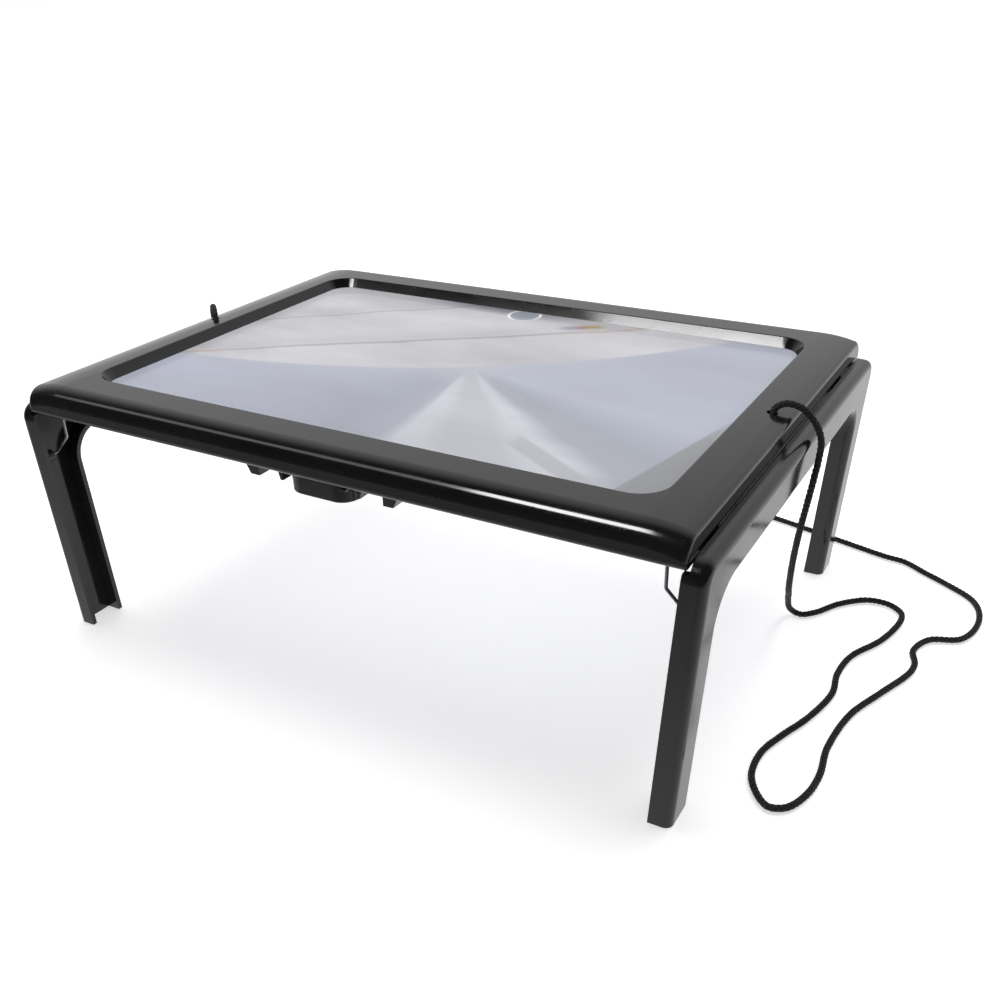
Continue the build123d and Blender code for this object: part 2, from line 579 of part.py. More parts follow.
with BuildPart() as case_screws:
    for point in CASE_SCREW_POINTS:
        add(pan_screw(*point, SCREW_SEAT_Z, SCREW_LENGTH))
case_screws.part.label = "case_screws"

cover_seat_z = HOUSING_BOTTOM - COVER_SEAT_DROP
with BuildPart() as cover_screw:
    add(pan_screw(*COVER_SCREW_POINT, cover_seat_z, COVER_SCREW_LENGTH))
cover_screw.part.label = "cover_screw"


# ================================================================ battery housing contents
with BuildPart() as battery_cover:
    housing_column(COVER_BOTTOM, COVER_THICKNESS, 0)
    fillet(battery_cover.edges().group_by(Axis.Z)[0], COVER_EDGE_RADIUS)
    housing_column(HOUSING_BOTTOM, COVER_LIP, HOUSING_WALL + COVER_LIP_CLEARANCE)
    with Locations((CELL_FIRST_X + CELL_COUNT * CELL_LENGTH / 2, CELL_AXIS[0], CELL_AXIS[1])):
        Cylinder(CELL_RADIUS + COVER_LIP_CLEARANCE, 3 * CELL_RADIUS, rotation=(0, 90, 0), mode=Mode.SUBTRACT)
    round_columns([COVER_SCREW_POINT], COVER_BOTTOM, 2 * COVER_THICKNESS, SCREW_HOLE_RADIUS, Mode.SUBTRACT)
    round_columns([COVER_SCREW_POINT], COVER_BOTTOM, cover_seat_z - COVER_BOTTOM, SCREW_POCKET_RADIUS,
                  Mode.SUBTRACT)
battery_cover.part.label = "battery_cover"

with BuildPart() as button_cells:
    for index in range(CELL_COUNT):
        start_x = CELL_FIRST_X + index * CELL_LENGTH
        with BuildSketch(Plane.YZ.offset(start_x + CELL_CAP_HEIGHT)):
            with Locations(CELL_AXIS):
                Circle(CELL_RADIUS)
        extrude(amount=CELL_LENGTH - CELL_CAP_HEIGHT - CELL_GAP)
        with BuildSketch(Plane.YZ.offset(start_x)):
            with Locations(CELL_AXIS):
                Circle(CELL_CAP_RADIUS)
        extrude(amount=CELL_CAP_HEIGHT)
button_cells.part.label = "button_cells"

contact_height = CONTACT_TOP - CONTACT_BOTTOM
with BuildPart() as positive_contact:
    contact_x = CELLS_END_X + CELL_CAP_HEIGHT + CONTACT_THICKNESS / 2
    with Locations((contact_x, CELL_AXIS[0], CONTACT_BOTTOM + contact_height / 2)):
        Box(CONTACT_THICKNESS, CONTACT_WIDTH, contact_height)
    with BuildSketch(Plane.YZ.offset(contact_x)):
        with Locations(CELL_AXIS):
            Circle(CONTACT_WIDTH / 4)
    extrude(amount=-CONTACT_THICKNESS, taper=CONTACT_TAPER)
positive_contact.part.label = "positive_contact"

with BuildPart() as negative_contact:
    spring_start = CONTACT_BACK_X + CONTACT_THICKNESS
    with Locations((spring_start - CONTACT_THICKNESS / 2, CELL_AXIS[0], CONTACT_BOTTOM + contact_height / 2)):
        Box(CONTACT_THICKNESS, CONTACT_WIDTH, contact_height)
    spring_length = CELL_FIRST_X - spring_start - 2 * SPRING_WIRE_RADIUS
    with BuildLine() as coil:
        Helix(
            pitch=spring_length / SPRING_TURNS, height=spring_length, radius=SPRING_RADIUS,
            center=(spring_start, *CELL_AXIS), direction=(1, 0, 0),
        )
    with BuildSketch(Plane(origin=coil.line @ 0, z_dir=coil.line % 0)):
        Circle(SPRING_WIRE_RADIUS)
    sweep(path=coil.line, is_frenet=True)
negative_contact.part.label = "negative_contact"

with BuildPart() as switch_body:
    with Locations((SWITCH_X, SWITCH_Y, SWITCH_MID_Z)):
        Box(SWITCH_THICKNESS, SWITCH_LENGTH, SWITCH_HEIGHT)
    with Locations((SWITCH_X + SWITCH_THICKNESS / 2, SWITCH_Y, SWITCH_MID_Z)):
        Box(SWITCH_THICKNESS, KNOB_STEM_LENGTH + SWITCH_TRAVEL + 2 * KNOB_SLOT_CLEARANCE,
            KNOB_HEIGHT + 2 * KNOB_SLOT_CLEARANCE, mode=Mode.SUBTRACT)
    with BuildSketch(Plane.YZ.offset(SWITCH_X - SWITCH_THICKNESS / 2)):
        with Locations(*[(SWITCH_Y + step * TERMINAL_PITCH, SWITCH_MID_Z) for step in (-1, 0, 1)]):
            Rectangle(TERMINAL_WIDTH, TERMINAL_THICKNESS)
    extrude(amount=-TERMINAL_LENGTH)
switch_body.part.label = "switch_body"

with BuildPart() as switch_knob:
    knob_y = SWITCH_Y - SWITCH_TRAVEL / 2
    stem_back = SWITCH_X + KNOB_STEM_GAP
    stem_front = HOUSING_HALF_LENGTH - HOUSING_WALL
    with Locations(((stem_back + stem_front) / 2, knob_y, SWITCH_MID_Z)):
        Box(stem_front - stem_back, KNOB_STEM_LENGTH, KNOB_HEIGHT)
    cap_thickness = HOUSING_WALL + KNOB_PROUD
    with Locations((stem_front + cap_thickness / 2, knob_y, SWITCH_MID_Z)):
        Box(cap_thickness, KNOB_LENGTH, KNOB_HEIGHT)
    ridge_pitch = KNOB_LENGTH / (KNOB_RIDGES + 1)
    with Locations(*[
        (stem_front + cap_thickness, knob_y + (step - (KNOB_RIDGES - 1) / 2) * ridge_pitch, SWITCH_MID_Z)
        for step in range(KNOB_RIDGES)
    ]):
        Box(KNOB_RIDGE_DEPTH, ridge_pitch / 2, 2 * KNOB_HEIGHT, mode=Mode.SUBTRACT)
switch_knob.part.label = "switch_knob"


# ================================================================ lamps and wiring
def lamp_board(side):
    """Circuit board that carries two lamps, on one side of the housing."""
    with BuildPart() as board:
        with Locations((side * board_mid, LAMP_Y, BOARD_Z + BOARD_THICKNESS / 2)):
            Box(BOARD_LENGTH, BOARD_WIDTH, BOARD_THICKNESS)
    return board.part


with BuildPart() as right_lamp_board:
    add(lamp_board(1))
right_lamp_board.part.label = "right_lamp_board"

with BuildPart() as left_lamp_board:
    add(lamp_board(-1))
left_lamp_board.part.label = "left_lamp_board"

with BuildPart() as lamps:
    lamp_base = BOARD_Z - LAMP_FLANGE_HEIGHT
    round_columns(lamp_points, lamp_base, LAMP_FLANGE_HEIGHT, LAMP_FLANGE_RADIUS)
    round_columns(lamp_points, LAMP_TIP_Z + LAMP_RADIUS, lamp_base - LAMP_TIP_Z - LAMP_RADIUS, LAMP_RADIUS)
    with Locations(*[(*point, LAMP_TIP_Z + LAMP_RADIUS) for point in lamp_points]):
        Sphere(LAMP_RADIUS)
lamps.part.label = "lamps"


def lamp_wire(wire_y):
    """One conductor that runs over the housing from lamp board to lamp board."""
    start_x = board_mid
    solder_z = BOARD_Z + BOARD_THICKNESS + SOLDER_GAP
    with BuildPart() as wire:
        with BuildLine() as wire_line:
            FilletPolyline(
                (-start_x, wire_y, solder_z), (-start_x, wire_y, WIRE_Z),
                (start_x, wire_y, WIRE_Z), (start_x, wire_y, solder_z), radius=WIRE_BEND_RADIUS,
            )
        with BuildSketch(Plane(origin=wire_line.line @ 0, z_dir=wire_line.line % 0)):
            Circle(WIRE_RADIUS)
        sweep(path=wire_line.line)
    return wire.part


with BuildPart() as positive_wire:
    add(lamp_wire(WIRE_YS[1]))
positive_wire.part.label = "positive_wire"

with BuildPart() as negative_wire:
    add(lamp_wire(WIRE_YS[0]))
negative_wire.part.label = "negative_wire"


# ================================================================ neck cord
table_points = [(x, y, CORD_REST_Z) for x, y in CORD_ON_TABLE]
with BuildPart() as neck_cord:
    with BuildLine() as cord_line:
        Polyline(*CORD_RIGHT_DROP, *table_points, *CORD_LEFT_RISE)
    with BuildSketch(Plane.XY.offset(CORD_END_Z)) as cord_section:
        with Locations((CORD_HOLE_X, 0)):
            Circle(CORD_RADIUS)
    sweep(path=cord_line.line, transition=Transition.RIGHT)
neck_cord.part.label = "neck_cord"

with BuildPart() as cord_stoppers:
    stopper_points = [(-CORD_HOLE_X, 0), (CORD_HOLE_X, 0)]
    round_columns(stopper_points, STOPPER_BOTTOM, STOPPER_HEIGHT, STOPPER_RADIUS)
    round_columns(stopper_points, STOPPER_BOTTOM, STOPPER_HEIGHT, STOPPER_BORE_RADIUS, Mode.SUBTRACT)
cord_stoppers.part.label = "cord_stoppers"


# ================================================================ one STEP file per piece
os.makedirs("parts", exist_ok=True)
for piece in (
    top_bezel, bottom_shell, fresnel_lens,
    left_leg_frame, right_leg_frame, left_hinge_pins, right_hinge_pins, left_stays, right_stays,
    case_screws, cover_screw, battery_cover, button_cells, positive_contact, negative_contact,
    switch_body, switch_knob, left_lamp_board, right_lamp_board, lamps, positive_wire, negative_wire,
    neck_cord, cord_stoppers,
):
    export_step(piece.part, f"parts/{piece.part.label}.step")
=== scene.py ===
import json
import math

import bpy
import numpy as np
from mathutils import Matrix, Vector


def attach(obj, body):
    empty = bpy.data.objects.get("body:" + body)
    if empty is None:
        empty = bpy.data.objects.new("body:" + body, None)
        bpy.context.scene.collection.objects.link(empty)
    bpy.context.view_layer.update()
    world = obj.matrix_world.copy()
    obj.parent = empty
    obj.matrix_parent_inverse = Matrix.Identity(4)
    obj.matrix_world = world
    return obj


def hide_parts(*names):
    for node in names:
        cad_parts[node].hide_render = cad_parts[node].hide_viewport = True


# Looks of the hands-free full-page magnifier. Metres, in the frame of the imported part: +Z up, -Y is the
# user's side, the table is at z = 0. Lens patterns are worked out in millimetres in the lens plane.
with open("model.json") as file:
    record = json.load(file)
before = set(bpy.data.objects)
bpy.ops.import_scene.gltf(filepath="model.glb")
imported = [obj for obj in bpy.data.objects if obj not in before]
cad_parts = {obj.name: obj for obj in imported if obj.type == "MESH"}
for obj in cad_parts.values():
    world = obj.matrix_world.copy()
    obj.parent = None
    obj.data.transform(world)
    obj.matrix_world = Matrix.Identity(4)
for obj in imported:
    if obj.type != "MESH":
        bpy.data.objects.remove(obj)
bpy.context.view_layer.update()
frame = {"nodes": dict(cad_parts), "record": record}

MM = 0.001
TO_MM = 1000.0

# ---- camera
CAMERA_PLACE = Vector((0.2318, -0.3674, 0.2612))
CAMERA_AZIMUTH = math.radians(30.19)
CAMERA_DIP = math.radians(29.01)
CAMERA_ROLL = math.radians(-1.49)
CAMERA_LENS_MM = 38.97
CAMERA_SHIFT_Y = 0.05

# ---- neck cord
CORD_RADIUS = 1.4 * MM
CORD_PITCH = 8.0 * MM           # length in which a strand goes once round the cord
CORD_STEP = 0.4 * MM
STRANDS_EACH_WAY = 4
STRAND_RADIUS = 0.46 * MM
STRAND_SIDES = 5
WEAVE_DEPTH = 0.1 * MM
CORE_RADIUS = 0.95 * MM
CORE_SIDES = 12
HOLE_X = 134.0
END_Z = 105.2
REST_Z = 1.6                    # height of the cord's centre where it lies on the table, in mm


# ================================================================ node helpers
def new_material(name):
    """An empty node material and its tree."""
    material = bpy.data.materials.new(name)
    material.use_nodes = True
    material.node_tree.nodes.clear()
    return material, material.node_tree


def add_node(tree, kind, inputs=None, **settings):
    """One node, with its settings and with values or links given for its inputs."""
    node = tree.nodes.new(kind)
    for key, value in settings.items():
        setattr(node, key, value)
    for key, value in (inputs or {}).items():
        if isinstance(value, bpy.types.NodeSocket):
            tree.links.new(value, node.inputs[key])
        else:
            node.inputs[key].default_value = value
    return node


def maths(tree, operation, a, b=0.0):
    """Output of one Math node."""
    return add_node(tree, "ShaderNodeMath", {0: a, 1: b}, operation=operation).outputs[0]


def rise(tree, value, low, high):
    """Goes smoothly from 0 to 1 as value goes from low to high."""
    limits = {"Value": value, "From Min": low, "From Max": high, "To Min": 0.0, "To Max": 1.0}
    return add_node(tree, "ShaderNodeMapRange", limits, interpolation_type="SMOOTHSTEP").outputs["Result"]


def bump_at(tree, value, centre, half_width):
    """1 where value is at centre, falling smoothly to 0 at half_width away."""
    away = maths(tree, "ABSOLUTE", maths(tree, "SUBTRACT", value, centre))
    return maths(tree, "SUBTRACT", 1.0, rise(tree, away, 0.0, half_width))


def plateau(tree, value, low, high, softness):
    """1 where value is between low and high, with edges of the given softness."""
    up = rise(tree, value, low - softness, low + softness)
    down = rise(tree, value, high - softness, high + softness)
    return maths(tree, "SUBTRACT", up, down)


def length_of(tree, a, b):
    """Length of a vector with two components."""
    squares = maths(tree, "ADD", maths(tree, "MULTIPLY", a, a), maths(tree, "MULTIPLY", b, b))
    return maths(tree, "SQRT", squares)


def mix_colour(tree, factor, a, b):
    """Output of one colour Mix node."""
    node = add_node(tree, "ShaderNodeMix", data_type="RGBA")
    for socket, value in ((node.inputs[0], factor), (node.inputs[6], a), (node.inputs[7], b)):
        if isinstance(value, bpy.types.NodeSocket):
            tree.links.new(value, socket)
        elif socket.name == "Factor":
            socket.default_value = value
        else:
            socket.default_value = (*value, 1.0)
    return node.outputs[2]


def object_coordinates(tree, stretch=(1.0, 1.0, 1.0)):
    """Place of the shaded point in the frame, stretched along the axes."""
    place = add_node(tree, "ShaderNodeTexCoord").outputs["Object"]
    return add_node(tree, "ShaderNodeMapping", {"Vector": place, "Scale": stretch}).outputs["Vector"]


def noise(tree, scale, detail=3.0, stretch=(1.0, 1.0, 1.0), roughness=0.5):
    """Noise between about 0.3 and 0.7 over the frame's coordinates."""
    inputs = {"Vector": object_coordinates(tree, stretch), "Scale": scale, "Detail": detail,
              "Roughness": roughness}
    return add_node(tree, "ShaderNodeTexNoise", inputs).outputs["Fac"]


def between(tree, value, low, high):
    """Maps noise onto the range from low to high."""
    limits = {"Value": value, "From Min": 0.3, "From Max": 0.7, "To Min": low, "To Max": high}
    return add_node(tree, "ShaderNodeMapRange", limits).outputs["Result"]


def bumped(tree, height, strength, distance):
    """Normal that follows a height pattern."""
    inputs = {"Height": height, "Strength": strength, "Distance": distance}
    return add_node(tree, "ShaderNodeBump", inputs).outputs["Normal"]


def finish_material(tree, shader):
    """Links a shader to the material's output."""
    add_node(tree, "ShaderNodeOutputMaterial", {"Surface": shader})


# ================================================================ materials
def gloss_black():
    """Polished black moulding: faint orange peel, light smears, a little dust and paler edges that are a
    painted highlight.
    """
    material, tree = new_material("gloss_black")
    smears = between(tree, noise(tree, 22.0, 4.0, (1.0, 1.0, 3.0)), 0.0, 1.0)
    dust = rise(tree, noise(tree, 900.0, 2.0), 0.69, 0.74)
    # painted highlight: convex edges, found by pointiness, are made paler
    edges = rise(tree, add_node(tree, "ShaderNodeNewGeometry").outputs["Pointiness"], 0.53, 0.6)
    colour = mix_colour(tree, smears, (0.006, 0.006, 0.0062), (0.009, 0.009, 0.0093))
    colour = mix_colour(tree, maths(tree, "MULTIPLY", edges, 0.3), colour, (0.025, 0.025, 0.026))
    colour = mix_colour(tree, maths(tree, "MULTIPLY", dust, 0.12), colour, (0.05, 0.05, 0.051))
    roughness = maths(tree, "ADD", 0.09, maths(tree, "MULTIPLY", smears, 0.07))
    roughness = maths(tree, "ADD", roughness, maths(tree, "MULTIPLY", dust, 0.2))
    peel = bumped(tree, noise(tree, 200.0, 2.0), 0.015, 0.2 * MM)
    shader = add_node(tree, "ShaderNodeBsdfPrincipled", {
        "Base Color": colour, "Roughness": roughness, "IOR": 1.5, "Normal": peel,
    })
    finish_material(tree, shader.outputs[0])
    return material


def brushed_metal(name, dark, light, roughness, stretch):
    """Drawn or turned metal with fine scratches that run one way."""
    material, tree = new_material(name)
    scratches = between(tree, noise(tree, 1400.0, 4.0, stretch), 0.0, 1.0)
    stains = between(tree, noise(tree, 180.0, 3.0), 0.0, 1.0)
    colour = mix_colour(tree, scratches, dark, light)
    colour = mix_colour(tree, maths(tree, "MULTIPLY", stains, 0.3), colour, dark)
    rough = maths(tree, "ADD", roughness, maths(tree, "MULTIPLY", scratches, 0.15))
    shader = add_node(tree, "ShaderNodeBsdfPrincipled", {
        "Base Color": colour, "Roughness": rough, "Metallic": 1.0,
        "Normal": bumped(tree, scratches, 0.15, 0.02 * MM),
    })
    finish_material(tree, shader.outputs[0])
    return material


def grained_plastic(name, dark, light, roughness):
    """Plastic or insulation with a fine spark-eroded grain."""
    material, tree = new_material(name)
    tone = between(tree, noise(tree, 300.0, 3.0), 0.0, 1.0)
    grain = noise(tree, 4500.0, 2.0)
    shader = add_node(tree, "ShaderNodeBsdfPrincipled", {
        "Base Color": mix_colour(tree, tone, dark, light),
        "Roughness": maths(tree, "ADD", roughness, maths(tree, "MULTIPLY", tone, 0.12)),
        "Normal": bumped(tree, grain, 0.3, 0.03 * MM),
    })
    finish_material(tree, shader.outputs[0])
    return material


def circuit_board():
    """Green lacquered board: glass weave under the lacquer and copper tracks that show paler."""
    material, tree = new_material("board")
    place = object_coordinates(tree)
    weave = add_node(tree, "ShaderNodeTexWave", {"Vector": place, "Scale": 420.0, "Distortion": 0.4},
                     bands_direction="X").outputs["Fac"]
    cross = add_node(tree, "ShaderNodeTexWave", {"Vector": place, "Scale": 420.0, "Distortion": 0.4},
                     bands_direction="Y").outputs["Fac"]
    cloth = maths(tree, "MULTIPLY", weave, cross)
    tracks = rise(tree, noise(tree, 120.0, 0.0, (1.0, 4.0, 1.0)), 0.56, 0.57)
    colour = mix_colour(tree, cloth, (0.012, 0.085, 0.03), (0.02, 0.13, 0.05))
    colour = mix_colour(tree, maths(tree, "MULTIPLY", tracks, 0.6), colour, (0.06, 0.24, 0.08))
    shader = add_node(tree, "ShaderNodeBsdfPrincipled", {
        "Base Color": colour, "Roughness": 0.3, "Coat Weight": 0.5,
        "Normal": bumped(tree, tracks, 0.4, 0.04 * MM),
    })
    finish_material(tree, shader.outputs[0])
    return material


def lamp_clear():
    """Clear lamp body with a milky, pale yellow core."""
    material, tree = new_material("lamp_clear")
    core = between(tree, noise(tree, 700.0, 2.0), 0.0, 1.0)
    shader = add_node(tree, "ShaderNodeBsdfPrincipled", {
        "Base Color": mix_colour(tree, core, (0.9, 0.92, 0.95), (0.95, 0.88, 0.6)),
        "Roughness": maths(tree, "ADD", 0.05, maths(tree, "MULTIPLY", core, 0.1)),
        "Transmission Weight": 0.6, "IOR": 1.5,
    })
    finish_material(tree, shader.outputs[0])
    return material


def braided_thread():
    """Black polyester thread: fine filaments along the strand, a soft sheen and a few paler fibres."""
    material, tree = new_material("cord")
    filaments = between(tree, noise(tree, 2600.0, 3.0), 0.0, 1.0)
    fluff = rise(tree, noise(tree, 900.0, 4.0), 0.6, 0.75)
    colour = mix_colour(tree, filaments, (0.004, 0.004, 0.0045), (0.016, 0.016, 0.017))
    colour = mix_colour(tree, maths(tree, "MULTIPLY", fluff, 0.4), colour, (0.04, 0.04, 0.042))
    shader = add_node(tree, "ShaderNodeBsdfPrincipled", {
        "Base Color": colour, "Roughness": 0.62, "Sheen Weight": 0.12, "Sheen Roughness": 0.4,
        "Specular IOR Level": 0.35, "Normal": bumped(tree, filaments, 0.5, 0.08 * MM),
    })
    finish_material(tree, shader.outputs[0])
    return material


# ---- lens: what the grooves do to the light that comes through, in millimetres in the lens plane
APEX = (4.3, 3.2)               # optical centre, where the rays meet
ZONE_MIDDLE = 5.0               # across, of the parabola between the bluish and the pale zone
ZONE_START = 0.2                # away, of the parabola's lowest point
ZONE_BEND = 0.0018
ARCS = (                        # away at the middle, slope, strength and half width of each shadow line
    (39.0, 0.07, 0.35, 2.2),
    (88.5, 0.13, 0.25, 1.8),
)
V_BAND_START = (58.0, -55.3)    # a point on each arm of the dark V, and the direction square to the arm
V_BAND_NORMAL = (0.511, 0.859)
V_SIDE_START = (107.2, -71.6)
V_SIDE_NORMAL = (0.978, -0.208)
SPOT_AWAY = 50.0
SPOT_ACROSS = (44.0, 71.0)
SPOT_SOFTNESS = 4.0
GROOVES_PER_MM = 1.6
RING_CENTRE = (-10.0, 77.4)
RING_RADIUS = 8.4
RING_WIDTH = 1.6
LENS_PAINTED_GLOW = 0.22                # light that the grooves bend in from the bright table
RAY_COLOURS = (                 # direction in degrees from the front (+ is to the right), colour
    (-90.0, (0.617, 0.631, 0.738)),
    (-45.0, (0.52, 0.535, 0.61)),
    (-10.0, (0.475, 0.495, 0.565)),
    (7.0, (0.51, 0.525, 0.585)),
    (12.0, (0.72, 0.725, 0.765)),
    (18.0, (0.70, 0.705, 0.745)),
    (25.0, (0.63, 0.635, 0.665)),
    (38.0, (0.62, 0.63, 0.66)),
    (43.0, (0.71, 0.715, 0.75)),
    (47.0, (0.69, 0.70, 0.74)),
    (53.0, (0.49, 0.505, 0.55)),
    (62.0, (0.47, 0.49, 0.54)),
    (76.0, (0.57, 0.59, 0.66)),
    (90.0, (0.55, 0.57, 0.64)),
)
SPECTRUM = (                    # distance along the coloured spot, 0 to 1, colour
    (0.0, (0.352, 0.376, 0.474)),
    (0.28, (0.37, 0.31, 0.37)),
    (0.45, (0.445, 0.235, 0.156)),
    (0.65, (0.46, 0.34, 0.15)),
    (0.82, (0.434, 0.423, 0.212)),
    (1.0, (0.62, 0.64, 0.62)),
)


def ramp(tree, factor, stops):
    """Colour ramp through the given stops."""
    node = add_node(tree, "ShaderNodeValToRGB", {"Fac": factor})
    while len(node.color_ramp.elements) < len(stops):
        node.color_ramp.elements.new(0.5)
    for element, (position, colour) in zip(node.color_ramp.elements, stops):
        element.position = position
        element.color = (*colour, 1.0)
    return node.outputs["Color"]


def add_up(tree, *values):
    """Sum of several values."""
    total = values[0]
    for value in values[1:]:
        total = maths(tree, "ADD", total, value)
    return total


def distance_past(tree, x, y, start, normal):
    """Distance of a point from the line through start, counted along the line's normal."""
    along_x = maths(tree, "MULTIPLY", maths(tree, "SUBTRACT", x, start[0]), normal[0])
    along_y = maths(tree, "MULTIPLY", maths(tree, "SUBTRACT", y, start[1]), normal[1])
    return maths(tree, "ADD", along_x, along_y)


def ray_zone(tree, x_from_apex, y_to_apex, groove_radius, warp, haze):
    """Colour of the bluish zone: soft rays that fan out from the optical centre."""
    angle = maths(tree, "DEGREES", maths(tree, "ARCTAN2", x_from_apex, y_to_apex))
    turned = maths(tree, "DIVIDE", add_up(tree, angle, warp, 90.0), 180.0)
    rays = ramp(tree, turned, [((degrees + 90.0) / 180.0, colour) for degrees, colour in RAY_COLOURS])
    spread = rise(tree, groove_radius, 2.0, 26.0)
    rays = mix_colour(tree, spread, (0.585, 0.595, 0.645), rays)
    return mix_colour(tree, maths(tree, "MULTIPLY", haze, 0.3), rays, (0.34, 0.345, 0.385))


def with_arcs(tree, colour, across, away, warp):
    """Adds the shadow lines of the far arcs, warm where they end."""
    warm = rise(tree, maths(tree, "ABSOLUTE", maths(tree, "ADD", across, 20.0)), 50.0, 100.0)
    tint = mix_colour(tree, warm, (0.12, 0.12, 0.13), (0.5, 0.27, 0.1))
    for level, slope, strength, width in ARCS:
        line = add_up(tree, maths(tree, "MULTIPLY", across, slope), level, warp)
        offset = maths(tree, "SUBTRACT", away, line)
        on_line = maths(tree, "MULTIPLY", bump_at(tree, offset, 0.0, width), strength)
        colour = mix_colour(tree, on_line, colour, tint)
        above = maths(tree, "MULTIPLY", bump_at(tree, offset, 6.0, 11.0), 0.12)
        colour = mix_colour(tree, above, colour, (0.25, 0.26, 0.33))
    return colour


def with_leg_image(tree, colour, x, y):
    """Adds the dark V of the leg frame's image near the front right corner."""
    band = distance_past(tree, x, y, V_BAND_START, V_BAND_NORMAL)
    band = maths(tree, "MULTIPLY", plateau(tree, band, -5.0, 3.0, 1.2), rise(tree, x, 52.0, 62.0))
    side = distance_past(tree, x, y, V_SIDE_START, V_SIDE_NORMAL)
    side = maths(tree, "MULTIPLY", rise(tree, side, -0.8, 0.8), rise(tree, y, 5.0, -30.0))
    colour = mix_colour(tree, maths(tree, "MULTIPLY", band, 0.8), colour, (0.5, 0.505, 0.53))
    return mix_colour(tree, maths(tree, "MULTIPLY", side, 0.85), colour, (0.345, 0.345, 0.355))


def with_rim_image(tree, colour, x, y):
    """Adds the rim's image, dark and blue along the back edge."""
    near_back = maths(tree, "MULTIPLY", rise(tree, y, 71.0, 82.0), bump_at(tree, x, -22.0, 62.0))
    return mix_colour(tree, maths(tree, "MULTIPLY", near_back, 0.75), colour, (0.16, 0.165, 0.21))


def with_spot(tree, colour, across, away):
    """Adds the small spot of split colours."""
    first, last = SPOT_ACROSS
    along = rise(tree, across, first, last)
    length = plateau(tree, across, first + SPOT_SOFTNESS - 1.0, last - SPOT_SOFTNESS + 1.0, SPOT_SOFTNESS)
    spot = maths(tree, "MULTIPLY", bump_at(tree, away, SPOT_AWAY, 4.5), length)
    return mix_colour(tree, spot, colour, ramp(tree, along, SPECTRUM))


def with_ring(tree, colour, x, y):
    """Adds a white ring and its grey inside."""
    radius = length_of(tree, maths(tree, "SUBTRACT", x, RING_CENTRE[0]),
                       maths(tree, "SUBTRACT", y, RING_CENTRE[1]))
    inside = maths(tree, "SUBTRACT", 1.0, rise(tree, radius, RING_RADIUS - RING_WIDTH, RING_RADIUS - 0.9))
    colour = mix_colour(tree, inside, colour, (0.366, 0.397, 0.44))
    on_ring = plateau(tree, radius, RING_RADIUS - RING_WIDTH, RING_RADIUS, 0.2)
    return mix_colour(tree, on_ring, colour, (0.97, 0.98, 1.0))


def grooved_sheet(tree, colour, groove_radius):
    """Shader of a milky, slightly clear sheet with fine concentric grooves, a gloss and a painted glow."""
    grooves = maths(tree, "FRACT", maths(tree, "MULTIPLY", groove_radius, GROOVES_PER_MM))
    normal = bumped(tree, grooves, 0.05, 0.05 * MM)
    diffuse = add_node(tree, "ShaderNodeBsdfDiffuse", {"Color": colour}).outputs[0]
    passing = add_node(tree, "ShaderNodeBsdfTranslucent", {"Color": colour}).outputs[0]
    body = add_node(tree, "ShaderNodeMixShader", {0: 0.5, 1: diffuse, 2: passing}).outputs[0]
    # painted light: the sheet glows with its own colour, standing in for the light that the grooves bend in
    glow = add_node(tree, "ShaderNodeEmission", {"Color": colour, "Strength": LENS_PAINTED_GLOW}).outputs[0]
    body = add_node(tree, "ShaderNodeAddShader", {0: body, 1: glow}).outputs[0]
    clear = add_node(tree, "ShaderNodeBsdfTransparent", {"Color": (0.92, 0.94, 1.0, 1.0)}).outputs[0]
    body = add_node(tree, "ShaderNodeMixShader", {0: 0.1, 1: body, 2: clear}).outputs[0]
    gloss = add_node(tree, "ShaderNodeBsdfGlossy", {"Roughness": 0.06, "Normal": normal}).outputs[0]
    fresnel = add_node(tree, "ShaderNodeFresnel", {"IOR": 1.45, "Normal": normal}).outputs[0]
    shine = maths(tree, "MULTIPLY", fresnel, 0.6)
    return add_node(tree, "ShaderNodeMixShader", {0: shine, 1: body, 2: gloss}).outputs[0]


def lens_clear():
    """Grooved sheet: milky light split into a pale and a bluish zone, with rays, arcs and a coloured spot."""
    material, tree = new_material("lens_clear")
    place = add_node(tree, "ShaderNodeSeparateXYZ", {0: object_coordinates(tree)})
    x = maths(tree, "MULTIPLY", place.outputs[0], TO_MM)
    y = maths(tree, "MULTIPLY", place.outputs[1], TO_MM)
    turn_cos = math.cos(CAMERA_AZIMUTH)
    turn_sin = math.sin(CAMERA_AZIMUTH)
    across = maths(tree, "ADD", maths(tree, "MULTIPLY", x, turn_cos), maths(tree, "MULTIPLY", y, turn_sin))
    away = maths(tree, "SUBTRACT", maths(tree, "MULTIPLY", y, turn_cos), maths(tree, "MULTIPLY", x, turn_sin))
    x_from_apex = maths(tree, "SUBTRACT", x, APEX[0])
    y_to_apex = maths(tree, "SUBTRACT", APEX[1], y)
    groove_radius = length_of(tree, x_from_apex, y_to_apex)
    wisps = noise(tree, 16.0, 5.0, (0.6, 1.6, 1.0), 0.55)
    warp = between(tree, wisps, -2.0, 2.0)
    haze = between(tree, wisps, 0.0, 1.0)

    from_middle = maths(tree, "SUBTRACT", across, ZONE_MIDDLE)
    bend = maths(tree, "MULTIPLY", ZONE_BEND, maths(tree, "MULTIPLY", from_middle, from_middle))
    beyond = maths(tree, "SUBTRACT", away, maths(tree, "ADD", ZONE_START, bend))
    rays = ray_zone(tree, x_from_apex, y_to_apex, groove_radius, warp, haze)
    pale = mix_colour(tree, haze, (0.53, 0.525, 0.55), (0.72, 0.715, 0.735))
    colour = mix_colour(tree, rise(tree, beyond, -1.5, 2.0), rays, pale)
    colour = with_arcs(tree, colour, across, away, warp)
    colour = with_leg_image(tree, colour, x, y)
    colour = with_rim_image(tree, colour, x, y)
    colour = with_spot(tree, colour, across, away)
    colour = with_ring(tree, colour, x, y)
    finish_material(tree, grooved_sheet(tree, colour, groove_radius))
    return material


